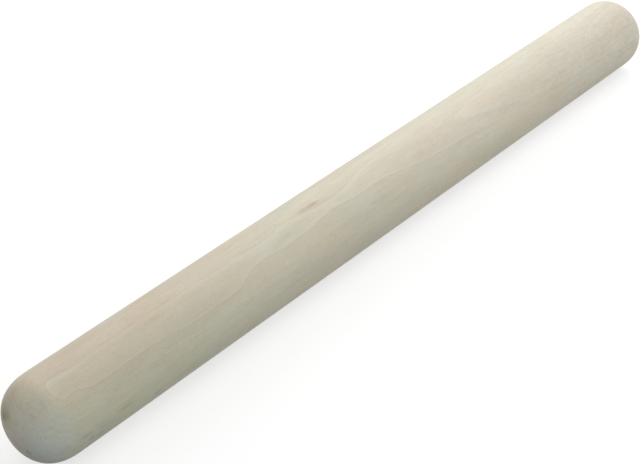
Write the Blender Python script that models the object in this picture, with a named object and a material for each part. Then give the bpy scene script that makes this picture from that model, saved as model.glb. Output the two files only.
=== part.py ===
"""A straight wooden rolling pin without handles, turned from one billet.

Units are metres and +Z is up. The pin lies along X on the plane z = 0, and the
origin is under the middle of it. The deeper of its two domed ends points to -X.
"""

import math

import bmesh
import bpy

# Overall sizes of the pin
OVERALL_LENGTH = 0.457
BARREL_DIAMETER = 0.038

# How far each domed end reaches past the straight barrel
LEFT_DOME_DEPTH = 0.0192
RIGHT_DOME_DEPTH = 0.0155

# Exponent of both domes' outline: 2 is an ellipse, and more is fuller at the shoulder
DOME_FULLNESS = 2.57

# Fineness of the turned surface. Sides that divide by four put a flat at the bottom, at
# the top and at both sides, so the pin measures its true diameter there.
SIDES = 60
DOME_STEPS = 16

# Points closer than this share of the barrel's diameter are one point, as at a dome's tip
MERGE_SHARE = 0.0002

# The bare wood, as linear colour
WOOD_COLOUR = (0.66, 0.61, 0.50, 1.0)
WOOD_ROUGHNESS = 0.55
WOOD_METALLIC = 0.0

AXIS_HEIGHT = BARREL_DIAMETER / 2
HALF_STEP = math.pi / SIDES


def clear_scene():
    """Remove every object that the scene starts with."""
    for obj in list(bpy.data.objects):
        bpy.data.objects.remove(obj, do_unlink=True)


def corner_radius(radius):
    """Return the radius of the corners whose flats touch a circle of this radius."""
    return radius / math.cos(HALF_STEP)


def dome_outline(depth, radius):
    """Return one dome's outline as (reach past the barrel, radius) pairs.

    It runs from the tip, on the axis, to the shoulder, where the barrel begins.
    """
    power = 2 / DOME_FULLNESS
    outline = []
    for step in range(DOME_STEPS + 1):
        angle = math.pi / 2 * step / DOME_STEPS
        reach = depth * math.cos(angle) ** power
        outline.append((reach, radius * math.sin(angle) ** power))
    return outline


def pin_outline():
    """Return the whole pin's outline as (x, radius) pairs, from the left tip to the right."""
    left_shoulder = LEFT_DOME_DEPTH - OVERALL_LENGTH / 2
    right_shoulder = OVERALL_LENGTH / 2 - RIGHT_DOME_DEPTH
    radius = BARREL_DIAMETER / 2
    outline = []
    for reach, ring in dome_outline(LEFT_DOME_DEPTH, radius):
        outline.append((left_shoulder - reach, ring))
    for reach, ring in reversed(dome_outline(RIGHT_DOME_DEPTH, radius)):
        outline.append((right_shoulder + reach, ring))
    return outline


def wood_material():
    """Return the pale, bare wood of the pin."""
    material = bpy.data.materials.new("pale_wood")
    material.use_nodes = True
    shader = material.node_tree.nodes["Principled BSDF"]
    shader.inputs["Base Color"].default_value = WOOD_COLOUR
    shader.inputs["Roughness"].default_value = WOOD_ROUGHNESS
    shader.inputs["Metallic"].default_value = WOOD_METALLIC
    material.diffuse_color = WOOD_COLOUR
    return material


def turned_mesh(name, outline):
    """Turn an outline of (x, radius) pairs about the X axis into a closed mesh.

    The outline starts half a step from straight down, so a flat lies underneath.
    """
    start = HALF_STEP - math.pi / 2
    shape = bmesh.new()
    points = []
    for x, radius in outline:
        corner = corner_radius(radius)
        points.append(shape.verts.new((x, corner * math.cos(start), corner * math.sin(start))))
    edges = [shape.edges.new(pair) for pair in zip(points, points[1:])]
    bmesh.ops.spin(
        shape,
        geom=points + edges,
        cent=(0, 0, 0),
        axis=(1, 0, 0),
        angle=2 * math.pi,
        steps=SIDES,
        use_merge=True,
    )
    bmesh.ops.remove_doubles(shape, verts=shape.verts[:], dist=BARREL_DIAMETER * MERGE_SHARE)
    bmesh.ops.recalc_face_normals(shape, faces=shape.faces[:])
    mesh = bpy.data.meshes.new(name)
    shape.to_mesh(mesh)
    shape.free()
    mesh.shade_smooth()
    return mesh


def build_rolling_pin():
    """Make the pin, its axis half a diameter above the plane that it lies on."""
    mesh = turned_mesh("rolling_pin", pin_outline())
    mesh.materials.append(wood_material())
    pin = bpy.data.objects.new("rolling_pin", mesh)
    pin.location = (0, 0, AXIS_HEIGHT)
    bpy.context.scene.collection.objects.link(pin)


clear_scene()
build_rolling_pin()
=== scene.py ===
"""The finished look of a straight wooden rolling pin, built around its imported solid.

The pin is one turned piece of pale, fine-grained wood. Its body is turned by a
Geometry Nodes lathe from the sizes of the solid, and its wood is a solid pattern of
growth rings, fibres, rays and flecks that is cut by the surface as in a real billet.
Lengths are metres, +Z is up, and the pin lies along X on the plane z = 0.
"""

import logging
import math
from dataclasses import dataclass
from enum import Enum
from typing import ClassVar

import bpy
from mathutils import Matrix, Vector


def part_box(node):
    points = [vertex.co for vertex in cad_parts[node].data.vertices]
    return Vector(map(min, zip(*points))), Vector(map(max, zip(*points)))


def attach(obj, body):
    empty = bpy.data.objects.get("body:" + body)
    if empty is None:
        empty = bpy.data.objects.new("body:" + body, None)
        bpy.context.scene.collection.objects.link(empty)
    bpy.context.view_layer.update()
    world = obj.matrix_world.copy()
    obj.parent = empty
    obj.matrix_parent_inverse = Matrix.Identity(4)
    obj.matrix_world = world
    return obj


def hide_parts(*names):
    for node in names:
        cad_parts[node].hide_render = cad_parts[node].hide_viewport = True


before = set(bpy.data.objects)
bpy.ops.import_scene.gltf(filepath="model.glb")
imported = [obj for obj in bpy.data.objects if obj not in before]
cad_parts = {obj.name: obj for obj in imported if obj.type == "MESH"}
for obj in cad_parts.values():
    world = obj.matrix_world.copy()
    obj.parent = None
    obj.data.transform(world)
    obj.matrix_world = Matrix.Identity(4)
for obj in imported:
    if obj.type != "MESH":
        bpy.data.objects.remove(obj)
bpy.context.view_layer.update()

LOG = logging.getLogger("rolling_pin")

PIN_NODE = "rolling_pin"
PIN_BODY = "root"

Socket = bpy.types.NodeSocket
Value = float | int | tuple | bpy.types.Material | Socket
Curve = tuple[tuple[float, float], ...]
Colour = tuple[float, float, float, float]
Span = tuple[float, float]

PURE_WHITE: Colour = (1.0, 1.0, 1.0, 1.0)
FIELD_AVERAGE = 0.5


class Dome(Enum):
    """Which end of the pin a dome closes, as its sizes are named."""

    LEFT = "Left"
    RIGHT = "Right"


class Laying(Enum):
    """How one colour is laid over another."""

    COVER = "MIX"
    STAIN = "MULTIPLY"


class Part(Enum):
    """What the wood is made of at a point, each a share from 0 to 1 apart from the mottle."""

    LATE = "the dense dark edge of a growth ring"
    EARLY = "the pale start of the next ring"
    AGE = "how far the point is through its ring"
    TONE = "the ring's own darkness"
    FIBRE = "streaks along the grain"
    FINE = "finer streaks along the grain"
    RAY = "short dashes where the rays are cut"
    CLOUD = "broad uneven tone"
    MOTTLE = "short uneven patches towards the flatter dome, above and below nought"
    END = "how far the surface is turned across the fibres, on the domes"


Grain = dict[Part, Socket]
Weights = dict[Part, float]


class TreeWriter:
    """Adds nodes to a node tree and wires them by the names of their sockets."""

    def __init__(self, tree: bpy.types.NodeTree) -> None:
        """Keep the tree that is written to.

        Args:
            tree: The shader or geometry tree.
        """
        self.tree = tree

    def add(self, kind: str, inputs: dict[str, Value] | None = None, **settings: object) -> bpy.types.Node:
        """Add a node, set its options and fill its inputs.

        Args:
            kind: The node's type name in Blender.
            inputs: A value or an output socket for each input socket's name.
            **settings: The node's own options.

        Returns:
            The new node.
        """
        node = self.tree.nodes.new(kind)
        for name, option in settings.items():
            setattr(node, name, option)
        for name, value in (inputs or {}).items():
            socket = next(s for s in node.inputs if s.name == name and s.enabled)
            self.feed(socket, value)
        return node

    def feed(self, socket: Socket, value: Value) -> None:
        """Link an output to a socket, or write a plain value on it.

        Args:
            socket: The input to fill.
            value: An output socket, or a number, vector, colour or material.
        """
        if isinstance(value, bpy.types.NodeSocket):
            self.tree.links.new(value, socket)
        else:
            socket.default_value = value

    def chain(self, kind: str, *values: Value, output: str, **settings: object) -> Socket:
        """Add a node whose inputs share one name, and fill them in order.

        Args:
            kind: The node's type name in Blender.
            *values: What goes into its inputs.
            output: The name of the output that is wanted.
            **settings: The node's own options.

        Returns:
            The output's socket.
        """
        node = self.add(kind, **settings)
        for socket, value in zip(node.inputs, values):
            self.feed(socket, value)
        return node.outputs[output]

    def math(self, operation: str, *values: Value, clamp: bool = False) -> Socket:
        """Work out one arithmetic step.

        Args:
            operation: The Math node's operation.
            *values: Its one, two or three operands.
            clamp: Whether the result is held between 0 and 1.

        Returns:
            The result's socket.
        """
        return self.chain("ShaderNodeMath", *values, output="Value", operation=operation, use_clamp=clamp)

    def vector(self, operation: str, *values: Value) -> Socket:
        """Work out one step with vectors.

        Args:
            operation: The Vector Math node's operation.
            *values: Its one or two vectors.

        Returns:
            The resulting vector's socket.
        """
        return self.chain("ShaderNodeVectorMath", *values, output="Vector", operation=operation)

    def scaled(self, vector: Value, factor: Value) -> Socket:
        """Make a vector so many times as long."""
        inputs = {"Vector": vector, "Scale": factor}
        return self.add("ShaderNodeVectorMath", inputs, operation="SCALE").outputs["Vector"]

    def hypotenuse(self, across: Value, above: Value) -> Socket:
        """Find the length of a line from its two legs."""
        squares = self.math("MULTIPLY_ADD", across, across, self.math("MULTIPLY", above, above))
        return self.math("SQRT", squares)

    def seen(self) -> Socket:
        """Tell whether something is looked at, straight, through or mirrored, and not just lit by.

        Returns:
            1 where it is looked at, and 0 where it only lights.
        """
        ray = self.add("ShaderNodeLightPath").outputs
        direct = self.math("MAXIMUM", ray["Is Camera Ray"], ray["Is Transmission Ray"])
        return self.math("MAXIMUM", direct, ray["Is Glossy Ray"])

    def ease(self, value: Value, span: Span) -> Socket:
        """Rise smoothly from 0 to 1 over a span of values.

        Args:
            value: What is measured.
            span: Where the result is 0, and where it is 1.

        Returns:
            The smooth share's socket.
        """
        inputs = {"Value": value, "From Min": span[0], "From Max": span[1]}
        node = self.add("ShaderNodeMapRange", inputs, interpolation_type="SMOOTHSTEP")
        return node.outputs["Result"]

    def weigh(self, grain: Grain, weights: Weights) -> Socket:
        """Add up some of the wood's parts, each times its own weight.

        Args:
            grain: The wood's parts.
            weights: The weight of each part that counts.

        Returns:
            The sum.
        """
        result = 0.0
        for part, weight in weights.items():
            result = self.math("MULTIPLY_ADD", grain[part], weight, result)
        return result

    def noise(self, place: Value, detail: float, roughness: float = 0.5) -> Socket:
        """Read a smooth random field, whose average is FIELD_AVERAGE.

        Args:
            place: Where it is read, one feature to each unit.
            detail: How many finer layers are added.
            roughness: How strong each finer layer is.

        Returns:
            The field's height.
        """
        inputs = {"Vector": place, "Scale": 1.0, "Detail": detail, "Roughness": roughness}
        return self.add("ShaderNodeTexNoise", inputs).outputs["Fac"]

    def curve(self, value: Value, points: Curve) -> Socket:
        """Follow a smooth curve through points, both axes running from 0 to 1.

        Args:
            value: Where the curve is read.
            points: The curve's points, in order.

        Returns:
            The curve's height.
        """
        node = self.add("ShaderNodeFloatCurve", {"Value": value})
        line = node.mapping.curves[0]
        line.points[0].location = points[0]
        line.points[1].location = points[-1]
        for point in points[1:-1]:
            line.points.new(*point)
        node.mapping.update()
        return node.outputs["Value"]

    def blend(self, share: Value, first: Value, second: Value, laying: Laying = Laying.COVER) -> Socket:
        """Mix two colours.

        Args:
            share: How much of the second is taken.
            first: The first colour.
            second: The second colour.
            laying: How the second is laid over the first.

        Returns:
            The mixed colour.
        """
        inputs = {"Factor": share, "A": first, "B": second}
        node = self.add("ShaderNodeMix", inputs, data_type="RGBA", blend_type=laying.value)
        return next(s for s in node.outputs if s.enabled)


@dataclass
class TurnedPin:
    """The pin's body, turned about its own axis.

    Attributes:
        length: Overall length, from tip to tip.
        radius: Radius of the straight barrel.
        left_depth: How far the left dome reaches past the barrel, as on the solid.
        right_depth: How far the right dome reaches past the barrel, as on the solid.
        fullness: Exponent of the domes' outline, 2 for an ellipse.
        sides: How many sides the turned surface has.
        dome_steps: How many rings of faces each dome has.
        barrel_steps: How many rings of faces the barrel has.
        merge_share: Points closer than this share of the radius are one point, as at a tip.
        hand_wear: How deep the surface dips where it was sanded by hand.
        wear_scale: How many of those dips there are to a metre.
        seed: Picks the pattern of those dips.
    """

    length: float
    radius: float
    left_depth: float = 0.0192
    right_depth: float = 0.0155
    fullness: float = 2.57
    sides: int = 192
    dome_steps: int = 40
    barrel_steps: int = 160
    merge_share: float = 0.0001
    hand_wear: float = 0.00012
    wear_scale: float = 40.0
    seed: float = 4.0

    def sizes(self) -> dict[str, float | int]:
        """Name the sizes that the lathe works from.

        Returns:
            Each size by the name of its input.
        """
        return {
            "Length": self.length,
            "Radius": self.radius,
            "Left Depth": self.left_depth,
            "Right Depth": self.right_depth,
            "Fullness": self.fullness,
            "Sides": self.sides,
            "Dome Steps": self.dome_steps,
            "Barrel Steps": self.barrel_steps,
            "Merge Distance": self.radius * self.merge_share,
            "Hand Wear": self.hand_wear,
            "Wear Scale": self.wear_scale,
            "Seed": self.seed,
        }

    def lathe(self, wood: bpy.types.Material) -> bpy.types.NodeTree:
        """Build the tree that turns the pin's outline into its surface.

        Args:
            wood: The material that the surface is given.

        Returns:
            The geometry tree, its sizes as named inputs.
        """
        tree = bpy.data.node_groups.new("pin_lathe", "GeometryNodeTree")
        sockets = tree.interface
        sockets.new_socket("Geometry", in_out="OUTPUT", socket_type="NodeSocketGeometry")
        for name, value in self.sizes().items():
            kind = "NodeSocketInt" if isinstance(value, int) else "NodeSocketFloat"
            sockets.new_socket(name, in_out="INPUT", socket_type=kind)
        write = TreeWriter(tree)
        size = write.add("NodeGroupInput").outputs
        axis, radius = self.outline(write, size)
        ring = {"Resolution": size["Sides"], "Radius": 1.0}
        circle = write.add("GeometryNodeCurvePrimitiveCircle", ring)
        inputs = {"Curve": axis, "Profile Curve": circle.outputs["Curve"], "Scale": radius}
        turned = write.add("GeometryNodeCurveToMesh", inputs)
        merge = {"Geometry": turned.outputs["Mesh"], "Distance": size["Merge Distance"]}
        closed = write.add("GeometryNodeMergeByDistance", merge)
        sanded = self.sanding(write, closed.outputs["Geometry"], size)
        smooth = write.add("GeometryNodeSetShadeSmooth", {"Geometry": sanded})
        real = write.add("GeometryNodeRealizeInstances", {"Geometry": smooth.outputs["Geometry"]})
        finish = {"Geometry": real.outputs["Geometry"], "Material": wood}
        dressed = write.add("GeometryNodeSetMaterial", finish)
        write.add("NodeGroupOutput", {"Geometry": dressed.outputs["Geometry"]})
        return tree

    def outline(self, write: TreeWriter, size: bpy.types.NodeOutputs) -> tuple[Socket, Socket]:
        """Lay points along the axis and give each its turned radius.

        Each dome is a superellipse of its own depth, walked in even steps of its angle.

        Args:
            write: The writer of the tree.
            size: The tree's own inputs.

        Returns:
            The curve along the axis, and the radius at each of its points.
        """
        steps = write.math("MULTIPLY_ADD", size["Dome Steps"], len(Dome), size["Barrel Steps"])
        line = write.add("GeometryNodeCurvePrimitiveLine")
        count = {"Curve": line.outputs["Curve"], "Count": write.math("ADD", steps, 1)}
        points = write.add("GeometryNodeResampleCurve", count).outputs["Curve"]
        index = write.add("GeometryNodeInputIndex").outputs["Index"]
        power = write.math("DIVIDE", 2, size["Fullness"])
        passed = {Dome.LEFT: index, Dome.RIGHT: write.math("SUBTRACT", steps, index)}
        reach, rise = {}, {}
        for dome, past in passed.items():
            share = write.math("DIVIDE", past, size["Dome Steps"], clamp=True)
            angle = write.math("MULTIPLY", share, math.pi / 2)
            out = write.math("MAXIMUM", write.math("COSINE", angle), 0)
            depth = size[f"{dome.value} Depth"]
            reach[dome] = write.math("MULTIPLY", write.math("POWER", out, power), depth)
            rise[dome] = write.math("POWER", write.math("SINE", angle), power)
        past_dome = write.math("SUBTRACT", index, size["Dome Steps"])
        along = write.math("DIVIDE", past_dome, size["Barrel Steps"], clamp=True)
        half = write.math("DIVIDE", size["Length"], 2)
        domes = write.math("ADD", size["Left Depth"], size["Right Depth"])
        straight = write.math("SUBTRACT", size["Length"], domes)
        start = write.math("SUBTRACT", size["Left Depth"], half)
        barrel = write.math("MULTIPLY_ADD", along, straight, start)
        beyond = write.math("SUBTRACT", reach[Dome.RIGHT], reach[Dome.LEFT])
        spot = {"X": write.math("ADD", barrel, beyond), "Z": size["Radius"]}
        place = write.add("ShaderNodeCombineXYZ", spot).outputs["Vector"]
        moved = write.add("GeometryNodeSetPosition", {"Geometry": points, "Position": place})
        lower = write.math("MINIMUM", rise[Dome.LEFT], rise[Dome.RIGHT])
        return moved.outputs["Geometry"], write.math("MULTIPLY", lower, size["Radius"])

    def sanding(self, write: TreeWriter, mesh: Socket, size: bpy.types.NodeOutputs) -> Socket:
        """Dip the surface a hair's breadth where it was sanded by hand, and never raise it.

        Args:
            write: The writer of the tree.
            mesh: The turned surface.
            size: The tree's own inputs.

        Returns:
            The sanded surface.
        """
        place = write.add("GeometryNodeInputPosition").outputs["Position"]
        inputs = {"Vector": place, "W": size["Seed"], "Scale": size["Wear Scale"]}
        field = write.add("ShaderNodeTexNoise", inputs, noise_dimensions="4D").outputs["Fac"]
        depth = write.math("MULTIPLY", write.math("MULTIPLY", field, size["Hand Wear"]), -1)
        normal = write.add("GeometryNodeInputNormal").outputs["Normal"]
        inward = write.scaled(normal, depth)
        moved = write.add("GeometryNodeSetPosition", {"Geometry": mesh, "Offset": inward})
        return moved.outputs["Geometry"]

    def build(self, wood: bpy.types.Material) -> bpy.types.Object:
        """Turn the pin and make the result a plain mesh at the origin.

        Args:
            wood: The material that the surface is given.

        Returns:
            The finished piece.
        """
        blank = bpy.data.objects.new("pin_blank", bpy.data.meshes.new("pin_blank"))
        bpy.context.scene.collection.objects.link(blank)
        tree = self.lathe(wood)
        modifier = blank.modifiers.new("lathe", "NODES")
        modifier.node_group = tree
        sizes = self.sizes()
        for item in tree.interface.items_tree:
            if item.in_out == "INPUT":
                modifier[item.identifier] = sizes[item.name]
        ready = blank.evaluated_get(bpy.context.evaluated_depsgraph_get())
        mesh = bpy.data.meshes.new_from_object(ready)
        mesh.name = "turned_pin"
        bpy.data.objects.remove(blank)
        piece = bpy.data.objects.new("turned_pin", mesh)
        bpy.context.scene.collection.objects.link(piece)
        return piece

    def place(self, piece: bpy.types.Object) -> None:
        """Let the piece stand for the solid, and ride on its body.

        Args:
            piece: The turned pin.
        """
        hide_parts(PIN_NODE)
        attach(piece, PIN_BODY)


@dataclass(frozen=True)
class Pattern:
    """A smooth random pattern in the wood.

    Attributes:
        along: How long its features are along the pin.
        across: How wide they are.
        detail: How many finer layers are added.
        roughness: How strong each finer layer is.
    """

    along: float
    across: float
    detail: float = 2.0
    roughness: float = 0.5

    def read(self, write: TreeWriter, place: Value) -> Socket:
        """Read the pattern.

        Args:
            write: The writer of the material's tree.
            place: Where it is read.

        Returns:
            The pattern's height there.
        """
        cell = {"Vector": place, "Scale": (self.along, self.across, self.across)}
        local = write.add("ShaderNodeMapping", cell, vector_type="TEXTURE").outputs["Vector"]
        return write.noise(local, self.detail, self.roughness)


@dataclass(frozen=True)
class Mark:
    """A soft-edged patch of colour on the wood: a tint, a stain, or painted light and shade.

    Attributes:
        x: Where its middle is along the pin.
        angle: Where its middle is around the pin, in degrees from the top towards the front.
        length: Half its length along the pin.
        width: Half its width across the grain.
        tint: What it multiplies the wood's colour by.
        depth: How far below the barrel's surface its middle is.
        soft: The share of its size over which it fades away.
    """

    x: float
    angle: float
    length: float
    width: float
    tint: tuple[float, float, float]
    depth: float = 0.0
    soft: float = 1.0

    def apply(self, write: TreeWriter, place: Value, colour: Value, radius: float) -> Socket:
        """Lay the patch over a colour.

        Args:
            write: The writer of the material's tree.
            place: The point that is coloured.
            colour: The wood's colour there.
            radius: The pin's radius.

        Returns:
            The colour with the patch on it.
        """
        turn, arm = math.radians(self.angle), radius - self.depth
        middle = (self.x, -arm * math.sin(turn), radius + arm * math.cos(turn))
        size = (self.length, self.width, self.width)
        inputs = {"Vector": place, "Location": middle, "Scale": size}
        local = write.add("ShaderNodeMapping", inputs, vector_type="TEXTURE").outputs["Vector"]
        away = write.chain("ShaderNodeVectorMath", local, output="Value", operation="LENGTH")
        share = write.ease(away, (1.0, 1.0 - self.soft))
        return write.blend(share, colour, (*self.tint, 1.0), Laying.STAIN)


@dataclass(frozen=True)
class PaleWood:
    """Bare, sanded, pale and fine-grained wood, cut from one billet.

    Attributes:
        length: The pin's length.
        radius: The pin's radius.
        heart_depth: How far below the pin's axis the tree's heart was.
        ring_width: The thickness of one year's growth.
        growth_height: The growth that the full height of CREST_GROWTH stands for.
        wander_turn: The degrees around the pin that the full height of CREST_WANDER stands for.
        crest_angle: Where the flattest grain lies, in degrees from the top towards the front.
        ripple: How far the rings' edges sway in long waves, in rings.
        jag: How far they sway in short ones, in rings.
        late_power: How narrow the dark edge of a ring is.
        early_power: How narrow the pale start of a ring is.
        other_rings: How strongly the edges away from the first ring's show.
        ray_length: The length of a ray's dash.
        ray_width: The width of a ray's dash.
        ray_rings: How many rings a ray runs through.
        ray_detail: How many finer layers the rays have.
        end_lines: How much more the rings' edges show on the domes.
        lightness: What is taken off all shade.
        pale: The wood's palest colour.
        dark: The colour that its dark parts tend to.
        cool: What its cool patches multiply the colour by.
        warm: What its warm patches multiply the colour by.
        rag_scale: How many kinks to a metre the small marks' edges have.
        rag_depth: How far those edges are shaken.
        gloss: How strongly the bare wood mirrors its surroundings.
        roughness: How rough it is before its parts add to that.
        turning_height: How high the faint rings left by turning are, as a share of the bump.
        bump_strength: How strongly the bump turns the light.
        bump_height: The height of the bump.
    """

    length: float
    radius: float
    heart_depth: float = 0.0507
    ring_width: float = 0.0019
    growth_height: float = 0.0086
    wander_turn: float = 40.0
    crest_angle: float = 28.0
    ripple: float = 0.04
    jag: float = 0.07
    late_power: float = 12.0
    early_power: float = 11.0
    other_rings: float = 0.32
    ray_length: float = 0.0016
    ray_width: float = 0.00034
    ray_rings: float = 2.5
    ray_detail: float = 1.0
    end_lines: float = 0.9
    lightness: float = 0.48
    pale: Colour = (0.708, 0.674, 0.545, 1.0)
    dark: Colour = (0.52, 0.452, 0.335, 1.0)
    cool: Colour = (0.982, 1.003, 1.010, 1.0)
    warm: Colour = (1.014, 0.998, 0.972, 1.0)
    rag_scale: float = 500.0
    rag_depth: float = 0.0012
    gloss: float = 0.2
    roughness: float = 0.47
    turning_height: float = 0.25
    bump_strength: float = 0.35
    bump_height: float = 0.00012

    # Random patterns, each with the length and width of its features
    RIPPLES: ClassVar[Pattern] = Pattern(0.030, 0.005)
    JAGS: ClassVar[Pattern] = Pattern(0.0035, 0.0013)
    PATCHES: ClassVar[Pattern] = Pattern(0.016, 0.006, detail=3.0)
    MOTTLES: ClassVar[Pattern] = Pattern(0.004, 0.0012)
    FIBRES: ClassVar[Pattern] = Pattern(0.020, 0.0019, detail=3.0, roughness=0.6)
    FINE_FIBRES: ClassVar[Pattern] = Pattern(0.005, 0.0006, roughness=0.6)
    CLOUDS: ClassVar[Pattern] = Pattern(0.026, 0.007, detail=3.0)
    HUES: ClassVar[Pattern] = Pattern(0.036, 0.0085)
    TURNING: ClassVar[Pattern] = Pattern(0.0004, 0.030, detail=1.0)

    # Where a pattern begins to show, and where it shows in full
    PATCH_SPAN: ClassVar[Span] = (0.18, 0.54)
    FIRST_RING_SPAN: ClassVar[Span] = (0.60, 0.10)
    RAY_SPAN: ClassVar[Span] = (0.58, 0.74)
    HUE_SPAN: ClassVar[Span] = (0.30, 0.70)
    MOTTLE_SPAN: ClassVar[Span] = (0.08, 0.17)
    END_SPAN: ClassVar[Span] = (0.12, 0.9)

    # How much each part darkens the wood, along the rings' edges and everywhere
    EDGE_SHADE: ClassVar[Weights] = {
        Part.LATE: 0.20,
        Part.EARLY: -0.32,
        Part.AGE: 0.05,
    }
    BODY_SHADE: ClassVar[Weights] = {
        Part.FIBRE: 0.42,
        Part.FINE: 0.44,
        Part.RAY: 0.34,
        Part.MOTTLE: 0.70,
        Part.TONE: 0.08,
        Part.CLOUD: 0.40,
        Part.END: 0.22,
    }

    # How much each part roughens the wood, and how far it stands up in the bump
    ROUGHENING: ClassVar[Weights] = {
        Part.FIBRE: 0.12,
        Part.CLOUD: 0.10,
        Part.LATE: -0.05,
        Part.END: 0.08,
    }
    RAISING: ClassVar[Weights] = {
        Part.FIBRE: 0.5,
        Part.FINE: 0.5,
        Part.RAY: -0.25,
        Part.LATE: 0.25,
    }

    # Growth above the first ring's edge, from the left tip along the crest to the right one
    CREST_GROWTH: ClassVar[Curve] = (
        (0.0, 0.06),
        (0.0225, 0.064),
        (0.0254, 0.082),
        (0.0263, 0.098),
        (0.034, 0.072),
        (0.042, 0.055),
        (0.064, 0.072),
        (0.086, 0.082),
        (0.13, 0.076),
        (0.151, 0.092),
        (0.245, 0.094),
        (0.283, 0.042),
        (0.305, 0.035),
        (0.327, 0.046),
        (0.342, 0.058),
        (0.397, 0.022),
        (0.426, 0.022),
        (0.456, 0.05),
        (0.494, 0.085),
        (0.535, 0.145),
        (0.592, 0.21),
        (0.637, 0.24),
        (0.754, 0.46),
        (0.896, 0.69),
        (1.0, 0.86),
    )

    # How far the crest wanders around the pin, where 0.5 is none and more is forwards
    CREST_WANDER: ClassVar[Curve] = (
        (0.0, 0.42),
        (0.042, 0.41),
        (0.064, 0.53),
        (0.086, 0.52),
        (0.151, 0.51),
        (0.173, 0.55),
        (0.195, 0.565),
        (0.217, 0.55),
        (0.245, 0.575),
        (0.283, 0.41),
        (0.327, 0.417),
        (0.342, 0.36),
        (0.372, 0.385),
        (0.397, 0.38),
        (0.426, 0.405),
        (0.494, 0.25),
        (0.535, 0.3),
        (0.637, 0.35),
        (0.754, 0.5),
        (1.0, 0.5),
    )

    # Broad soft tints, rosy along the top, and painted shade, cooler and darker, below the left half;
    # light and dark ones on the deeper dome, among them painted shade and a painted bluish reflection
    TINTS_AND_PAINTED_LIGHT: ClassVar[tuple[Mark, ...]] = (
        Mark(-0.1866, -9, 0.1561, 0.0151, (1.00, 0.91, 0.90)),
        # Painted shade: darker and cooler along the underside of the left half
        Mark(-0.1880, 119, 0.1427, 0.0285, (0.88, 0.94, 0.92), depth=0.003),
        Mark(-0.1888, 41, 0.1110, 0.0175, (0.94, 0.92, 0.89)),
        Mark(0.2048, 32, 0.1921, 0.0353, (0.98, 0.96, 1.01), depth=0.0016),
        Mark(0.0362, 16, 0.1121, 0.0228, (1.05, 1.02, 1.05)),
        # Painted reflection: a bluish sheen lightening the front of the deeper dome
        Mark(-0.2262, 76, 0.0160, 0.0237, (1.08, 1.20, 1.35), depth=0.0045),
        Mark(-0.2162, 11, 0.0059, 0.0159, (1.12, 1.14, 1.12), depth=0.0044),
        Mark(-0.2223, -2, 0.0054, 0.0077, (1.04, 1.12, 1.08), depth=0.0028),
        # Painted shade: darker and bluer under the deeper dome, where it nears the floor
        Mark(-0.2240, 166, 0.0620, 0.0265, (0.73, 0.75, 0.89), depth=0.0045),
        # Painted shade: grey darkening at the deeper dome's rim, towards the top and back
        Mark(-0.2270, -61, 0.0190, 0.0110, (0.80, 0.80, 0.80), depth=0.009),
        Mark(-0.1907, 92, 0.0209, 0.0116, (1.03, 0.98, 0.90), depth=0.0038),
    )

    # Small brown or grey flecks and stains with ragged edges
    MARKS: ClassVar[tuple[Mark, ...]] = (
        Mark(-0.0554, 7, 0.0061, 0.0013, (0.90, 0.84, 0.77), soft=0.8),
        Mark(-0.0494, 8, 0.0057, 0.0016, (0.86, 0.78, 0.71), soft=0.8),
        Mark(-0.1004, -12, 0.0091, 0.0026, (0.99, 0.95, 0.88)),
        Mark(-0.0863, 5, 0.0051, 0.0012, (0.98, 0.95, 0.90)),
        Mark(-0.0662, 13, 0.0046, 0.0010, (0.98, 0.96, 0.93)),
        Mark(-0.1585, 18, 0.0061, 0.0014, (0.99, 0.95, 0.94)),
        Mark(-0.0441, 30, 0.0071, 0.0011, (0.98, 0.93, 0.91)),
        Mark(-0.1694, 109, 0.0046, 0.0019, (0.86, 0.82, 0.78)),
        Mark(-0.2021, 111, 0.0041, 0.0021, (0.88, 0.84, 0.80)),
        Mark(-0.1890, 94, 0.0071, 0.0022, (0.84, 0.84, 0.82)),
        Mark(-0.2109, 96, 0.0056, 0.0020, (0.88, 0.88, 0.86)),
        Mark(-0.2275, -51, 0.0034, 0.0034, (0.87, 0.87, 0.78), depth=0.0104),
        Mark(-0.2262, -60, 0.0040, 0.0055, (0.91, 0.90, 0.82), depth=0.0074),
        Mark(-0.2269, -68, 0.0022, 0.0030, (0.64, 0.65, 0.62), depth=0.009),
        Mark(-0.2281, -43, 0.0015, 0.0015, (0.93, 0.95, 0.88), depth=0.0129),
        Mark(-0.2283, -12, 0.0015, 0.0015, (0.92, 0.95, 0.91), depth=0.0144),
        Mark(-0.2283, 32, 0.0014, 0.0014, (0.95, 0.97, 0.94), depth=0.0143),
        Mark(-0.2244, 9, 0.0011, 0.0011, (0.93, 0.92, 0.90), depth=0.005),
        Mark(-0.2249, 17, 0.0011, 0.0011, (0.95, 0.95, 0.90), depth=0.0056),
        Mark(-0.2262, 11, 0.0011, 0.0011, (0.96, 0.97, 0.92), depth=0.0074),
        Mark(-0.2262, 26, 0.0013, 0.0013, (0.91, 0.95, 0.90), depth=0.0074),
        Mark(-0.2277, 151, 0.0022, 0.0022, (0.76, 0.79, 0.75), depth=0.0111),
        Mark(-0.2266, 76, 0.0012, 0.0012, (0.91, 0.90, 0.91), depth=0.0082),
        Mark(-0.2256, 77, 0.0012, 0.0012, (0.90, 0.89, 0.90), depth=0.0065),
        Mark(-0.2075, 107, 0.0022, 0.0022, (0.82, 0.79, 0.74)),
        Mark(-0.2018, 100, 0.0020, 0.0020, (0.92, 0.93, 0.91)),
    )

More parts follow.
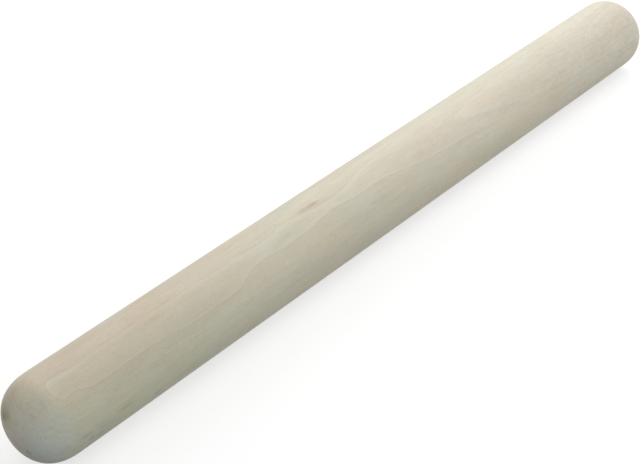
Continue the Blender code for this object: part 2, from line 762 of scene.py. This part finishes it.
    def billet(self, write: TreeWriter, place: Value) -> tuple[Socket, Socket]:
        """Find a point's distance from the tree's heart and its turn around it.

        Args:
            write: The writer of the material's tree.
            place: The point.

        Returns:
            The growth outside the first ring's edge, in rings, and the arc along that ring.
        """
        turn = (math.radians(self.crest_angle), 0.0, 0.0)
        inputs = {"Vector": place, "Location": (0.0, 0.0, self.radius), "Rotation": turn}
        local = write.add("ShaderNodeMapping", inputs, vector_type="TEXTURE").outputs["Vector"]
        axis = write.add("ShaderNodeSeparateXYZ", {"Vector": local}).outputs
        share = write.math("ADD", write.math("DIVIDE", axis["X"], self.length), 0.5)
        drawn = write.curve(share, self.CREST_WANDER)
        wander = write.math("MULTIPLY_ADD", drawn, self.wander_turn, -self.wander_turn / 2)
        slope = write.math("TANGENT", write.math("RADIANS", wander))
        aside = write.math("MULTIPLY", slope, self.heart_depth)
        across = write.math("SUBTRACT", axis["Y"], aside)
        above = write.math("ADD", axis["Z"], self.heart_depth)
        reach = write.hypotenuse(across, above)
        crest = write.math("ADD", write.hypotenuse(aside, self.heart_depth), self.radius)
        drawn = write.curve(share, self.CREST_GROWTH)
        growth = write.math("MULTIPLY_ADD", drawn, self.growth_height, reach)
        rings = write.math("DIVIDE", write.math("SUBTRACT", growth, crest), self.ring_width)
        turned = write.math("ARCTAN2", across, above)
        return rings, write.math("MULTIPLY", turned, self.heart_depth + self.radius)

    def swayed(self, write: TreeWriter, place: Value, rings: Value) -> Socket:
        """Let the rings' edges sway a little.

        Args:
            write: The writer of the material's tree.
            place: The point.
            rings: Its growth in rings, before the sway.

        Returns:
            Its growth in rings, after the sway.
        """
        waves = write.math("MULTIPLY", self.RIPPLES.read(write, place), self.ripple)
        sway = write.math("MULTIPLY_ADD", self.JAGS.read(write, place), self.jag, waves)
        middle = (self.ripple + self.jag) / 2
        return write.math("ADD", rings, write.math("SUBTRACT", sway, middle))

    def ray(self, write: TreeWriter, place: Value, rings: Value, arc: Value) -> Socket:
        """Find the short dashes where the surface cuts the rays.

        Args:
            write: The writer of the material's tree.
            place: The point.
            rings: Its growth in rings.
            arc: Its arc along the ring.

        Returns:
            The share of a ray at the point.
        """
        axis = write.add("ShaderNodeSeparateXYZ", {"Vector": place}).outputs
        cell = {
            "X": write.math("DIVIDE", axis["X"], self.ray_length),
            "Y": write.math("DIVIDE", arc, self.ray_width),
            "Z": write.math("DIVIDE", rings, self.ray_rings),
        }
        local = write.add("ShaderNodeCombineXYZ", cell).outputs["Vector"]
        return write.ease(write.noise(local, self.ray_detail), self.RAY_SPAN)

    def shoulder(self, write: TreeWriter, place: Value) -> Socket:
        """Tell how far inside the barrel's surface a point is, as on the domes.

        Args:
            write: The writer of the material's tree.
            place: The point.

        Returns:
            The share of end grain there.
        """
        axis = write.add("ShaderNodeSeparateXYZ", {"Vector": place}).outputs
        side = write.math("DIVIDE", axis["Y"], self.radius)
        rise = write.math("DIVIDE", write.math("SUBTRACT", axis["Z"], self.radius), self.radius)
        inside = write.math("SUBTRACT", 1.0, write.hypotenuse(side, rise), clamp=True)
        return write.ease(write.math("SQRT", inside), self.END_SPAN)

    def mottle(self, write: TreeWriter, place: Value) -> Socket:
        """Break up the tone in short patches towards the flatter dome.

        Args:
            write: The writer of the material's tree.
            place: The point.

        Returns:
            The patches' tone there, above and below nought.
        """
        axis = write.add("ShaderNodeSeparateXYZ", {"Vector": place}).outputs
        uneven = write.math("SUBTRACT", self.MOTTLES.read(write, place), FIELD_AVERAGE)
        return write.math("MULTIPLY", uneven, write.ease(axis["X"], self.MOTTLE_SPAN))

    def grain(self, write: TreeWriter, place: Value) -> Grain:
        """Work out what the wood is made of at a point.

        Args:
            write: The writer of the material's tree.
            place: The point.

        Returns:
            The wood's parts there.
        """
        straight, arc = self.billet(write, place)
        rings = self.swayed(write, place, straight)
        year = write.math("FLOOR", rings)
        age = write.math("SUBTRACT", rings, year)
        patchy = write.ease(self.PATCHES.read(write, place), self.PATCH_SPAN)
        first = write.ease(write.math("ABSOLUTE", rings), self.FIRST_RING_SPAN)
        shown = write.math("MULTIPLY_ADD", first, 1.0 - self.other_rings, self.other_rings)
        patchy = write.math("MULTIPLY", patchy, shown)
        tone = write.add("ShaderNodeTexWhiteNoise", {"W": year}, noise_dimensions="1D")
        late = write.math("POWER", age, self.late_power)
        early = write.math("POWER", write.math("SUBTRACT", 1.0, age), self.early_power)
        return {
            Part.LATE: write.math("MULTIPLY", late, patchy),
            Part.EARLY: write.math("MULTIPLY", early, patchy),
            Part.AGE: age,
            Part.TONE: tone.outputs["Value"],
            Part.FIBRE: self.FIBRES.read(write, place),
            Part.FINE: self.FINE_FIBRES.read(write, place),
            Part.RAY: self.ray(write, place, rings, arc),
            Part.CLOUD: self.CLOUDS.read(write, place),
            Part.MOTTLE: self.mottle(write, place),
            Part.END: self.shoulder(write, place),
        }

    def shaken(self, write: TreeWriter, place: Value) -> Socket:
        """Shake a place a little, so that a mark that reads it has ragged edges.

        Args:
            write: The writer of the material's tree.
            place: The point.

        Returns:
            The place, moved a little to any side.
        """
        inputs = {"Vector": place, "Scale": self.rag_scale}
        field = write.add("ShaderNodeTexNoise", inputs).outputs["Color"]
        shift = write.vector("SUBTRACT", field, (FIELD_AVERAGE,) * 3)
        return write.vector("ADD", place, write.scaled(shift, self.rag_depth))

    def colour(self, write: TreeWriter, place: Value, grain: Grain) -> Socket:
        """Colour the wood, with painted shade and a painted reflection among its tints.

        Args:
            write: The writer of the material's tree.
            place: The point.
            grain: The wood's parts there.

        Returns:
            The colour.
        """
        lines = write.math("MULTIPLY_ADD", grain[Part.END], self.end_lines, 1.0)
        edge = write.weigh(grain, self.EDGE_SHADE)
        body = write.weigh(grain, self.BODY_SHADE)
        shade = write.math("MULTIPLY_ADD", edge, lines, body)
        shade = write.math("SUBTRACT", shade, self.lightness)
        colour = write.blend(shade, self.pale, self.dark)
        warmth = write.ease(self.HUES.read(write, place), self.HUE_SPAN)
        hue = write.blend(warmth, self.cool, self.warm)
        colour = write.blend(1.0, colour, hue, Laying.STAIN)
        # Lay the tints, among them painted shade and a painted reflection
        for patch in self.TINTS_AND_PAINTED_LIGHT:
            colour = patch.apply(write, place, colour, self.radius)
        ragged = self.shaken(write, place)
        for patch in self.MARKS:
            colour = patch.apply(write, ragged, colour, self.radius)
        return colour

    def relief(self, write: TreeWriter, place: Value, grain: Grain) -> Socket:
        """Raise the grain and leave the faint rings of turning.

        Args:
            write: The writer of the material's tree.
            place: The point.
            grain: The wood's parts there.

        Returns:
            The bumped normal.
        """
        height = write.weigh(grain, self.RAISING)
        turning = self.TURNING.read(write, place)
        height = write.math("MULTIPLY_ADD", turning, self.turning_height, height)
        inputs = {"Strength": self.bump_strength, "Distance": self.bump_height, "Height": height}
        return write.add("ShaderNodeBump", inputs).outputs["Normal"]

    def material(self) -> bpy.types.Material:
        """Write the wood's node tree.

        Returns:
            The material.
        """
        wood = bpy.data.materials.new("pale_wood")
        wood.use_nodes = True
        write = TreeWriter(wood.node_tree)
        place = write.add("ShaderNodeTexCoord").outputs["Object"]
        grain = self.grain(write, place)
        shader = wood.node_tree.nodes["Principled BSDF"]
        rough = write.math("ADD", write.weigh(grain, self.ROUGHENING), self.roughness)
        write.feed(shader.inputs["Base Color"], self.colour(write, place, grain))
        write.feed(shader.inputs["Roughness"], rough)
        write.feed(shader.inputs["Normal"], self.relief(write, place, grain))
        shader.inputs["Specular IOR Level"].default_value = self.gloss
        return wood


@dataclass(frozen=True)
class StudioPaper:
    """White paper under the pin, which shows white and keeps a faint shadow.

    Attributes:
        colour: How much light it throws back at the pin.
        shown: How much of the light and shadow on it the camera sees.
        glow: What brings it up to white where the camera sees it.
    """

    colour: Colour = (0.63, 0.63, 0.63, 1.0)
    shown: Colour = (0.38, 0.38, 0.38, 1.0)
    glow: float = 0.69

    def material(self) -> bpy.types.Material:
        """Write the paper's node tree.

        Returns:
            The material.
        """
        paper = bpy.data.materials.new("studio_paper")
        paper.use_nodes = True
        paper.node_tree.nodes.clear()
        write = TreeWriter(paper.node_tree)
        seen = write.seen()
        colour = write.blend(seen, self.colour, self.shown)
        matt = write.add("ShaderNodeBsdfDiffuse", {"Color": colour}).outputs["BSDF"]
        strength = write.math("MULTIPLY", seen, self.glow)
        shine = write.add("ShaderNodeEmission", {"Strength": strength}).outputs["Emission"]
        both = write.chain("ShaderNodeAddShader", matt, shine, output="Shader")
        write.add("ShaderNodeOutputMaterial", {"Surface": both})
        return paper


@dataclass(frozen=True)
class SoftLamp:
    """One oblong, soft studio lamp, aimed at the pin.

    Attributes:
        name: What the lamp is called.
        place: Where its middle is.
        aim: The point it faces.
        width: Its width.
        height: Its height.
        power: Its power in watts.
    """

    name: str
    place: tuple[float, float, float]
    aim: tuple[float, float, float]
    width: float
    height: float
    power: float

    def build(self) -> bpy.types.Object:
        """Hang the lamp.

        Returns:
            The lamp's object.
        """
        data = bpy.data.lights.new(self.name, "AREA")
        data.shape = "RECTANGLE"
        data.size = self.width
        data.size_y = self.height
        data.energy = self.power
        lamp = bpy.data.objects.new(self.name, data)
        lamp.location = self.place
        ahead = Vector(self.aim) - Vector(self.place)
        lamp.rotation_euler = ahead.to_track_quat("-Z", "Y").to_euler()
        lamp.visible_camera = False
        bpy.context.scene.collection.objects.link(lamp)
        return lamp


@dataclass
class Studio:
    """The white floor, the lamps, the world and the camera.

    Attributes:
        floor_size: The length of the square floor's sides.
        world_strength: How strongly the room's even light fills in.
        azimuth: The camera's turn about the vertical, in degrees, where 0 looks along +Y.
        elevation: How high the camera looks down from, in degrees.
        distance: How far the camera is from the point it aims at.
        aim: The point that the camera aims at.
        lens: The lens's focal length in millimetres.
        film_width: The width of the film behind it in millimetres.
        nearest: The nearest that the camera sees.
        lamps: The studio's lamps.
    """

    floor_size: float = 12.0
    world_strength: float = 0.54
    azimuth: float = -52.2791
    elevation: float = 31.8864
    distance: float = 0.82167
    aim: tuple[float, float, float] = (-0.04137, -0.00112, 0.019)
    lens: float = 102.4218
    film_width: float = 36.0
    nearest: float = 0.01
    lamps: tuple[SoftLamp, ...] = (
        SoftLamp("far_lamp", (0.4, -0.165, 0.635), (0.12, 0.0, 0.02), width=0.5, height=0.5, power=2.15),
        SoftLamp("back_lamp", (0.5, 0.44, 0.45), (0.15, 0.0, 0.02), width=0.5, height=0.4, power=2.1),
    )

    def floor(self) -> bpy.types.Object:
        """Lay the paper under the pin.

        Returns:
            The floor's object.
        """
        half = self.floor_size / 2
        corners = [(-half, -half, 0), (half, -half, 0), (half, half, 0), (-half, half, 0)]
        mesh = bpy.data.meshes.new("studio_floor")
        mesh.from_pydata(corners, [], [(0, 1, 2, 3)])
        mesh.materials.append(StudioPaper().material())
        floor = bpy.data.objects.new("studio_floor", mesh)
        bpy.context.scene.collection.objects.link(floor)
        return floor

    def world(self) -> None:
        """Fill the room with even white light, and show white to the camera."""
        world = bpy.data.worlds.new("studio_world")
        world.use_nodes = True
        world.node_tree.nodes.clear()
        write = TreeWriter(world.node_tree)
        inputs = {"Value": write.seen(), "To Min": self.world_strength, "To Max": 1.0}
        strength = write.add("ShaderNodeMapRange", inputs).outputs["Result"]
        light = write.add("ShaderNodeBackground", {"Color": PURE_WHITE, "Strength": strength})
        write.add("ShaderNodeOutputWorld", {"Surface": light.outputs["Background"]})
        bpy.context.scene.world = world

    def camera(self) -> bpy.types.Object:
        """Set the camera at the photograph's angle.

        Returns:
            The camera's object.
        """
        turn, tilt = math.radians(self.azimuth), math.radians(self.elevation)
        level = math.cos(tilt)
        back = Vector((math.sin(turn) * level, -math.cos(turn) * level, math.sin(tilt)))
        data = bpy.data.cameras.new("studio_camera")
        data.lens = self.lens
        data.sensor_width = self.film_width
        data.clip_start = self.nearest
        camera = bpy.data.objects.new("studio_camera", data)
        camera.location = Vector(self.aim) + back * self.distance
        camera.rotation_euler = (-back).to_track_quat("-Z", "Y").to_euler()
        bpy.context.scene.collection.objects.link(camera)
        bpy.context.scene.camera = camera
        return camera


def main() -> None:
    """Build the pin and its studio, and report each piece."""
    logging.basicConfig(level=logging.INFO, format="%(message)s")
    bpy.context.scene.view_settings.view_transform = "Standard"
    low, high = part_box(PIN_NODE)
    studio = Studio()
    studio.camera()
    length, radius = high.x - low.x, (high.z - low.z) / 2
    wood = PaleWood(length, radius).material()
    pin = TurnedPin(length, radius)
    piece = pin.build(wood)
    pin.place(piece)
    LOG.info("%s: %d faces", piece.name, len(piece.data.polygons))
    floor = studio.floor()
    LOG.info("%s: %.0f m wide", floor.name, studio.floor_size)
    studio.world()
    for soft_lamp in studio.lamps:
        lamp = soft_lamp.build()
        LOG.info("%s: %.1f W", lamp.name, soft_lamp.power)


if __name__ == "__main__":
    main()
